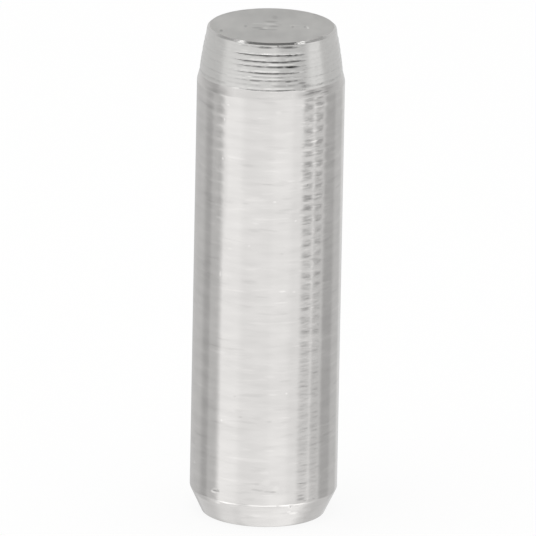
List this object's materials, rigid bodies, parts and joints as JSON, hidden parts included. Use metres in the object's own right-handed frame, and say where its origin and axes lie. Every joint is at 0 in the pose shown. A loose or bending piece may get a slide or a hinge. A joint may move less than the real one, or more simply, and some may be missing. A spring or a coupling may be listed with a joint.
{
  "type": "dowel pin",
  "caption": "Solid round dowel pin with a ground shank, a turned lead taper at one end and a chamfer at the other.",
  "frame": {"origin": "centre of the foot face, on the surface that the pin stands on", "axes": "+Z along the pin's axis, from the foot face towards the lead face"},
  "size_m": [0.006, 0.006, 0.0205],
  "materials": {
    "ground_stainless": "centreless-ground shank with turned ends"
  },
  "bodies": {
    "root": {"dowel_pin": "ground_stainless"}
  },
  "joints": []
}
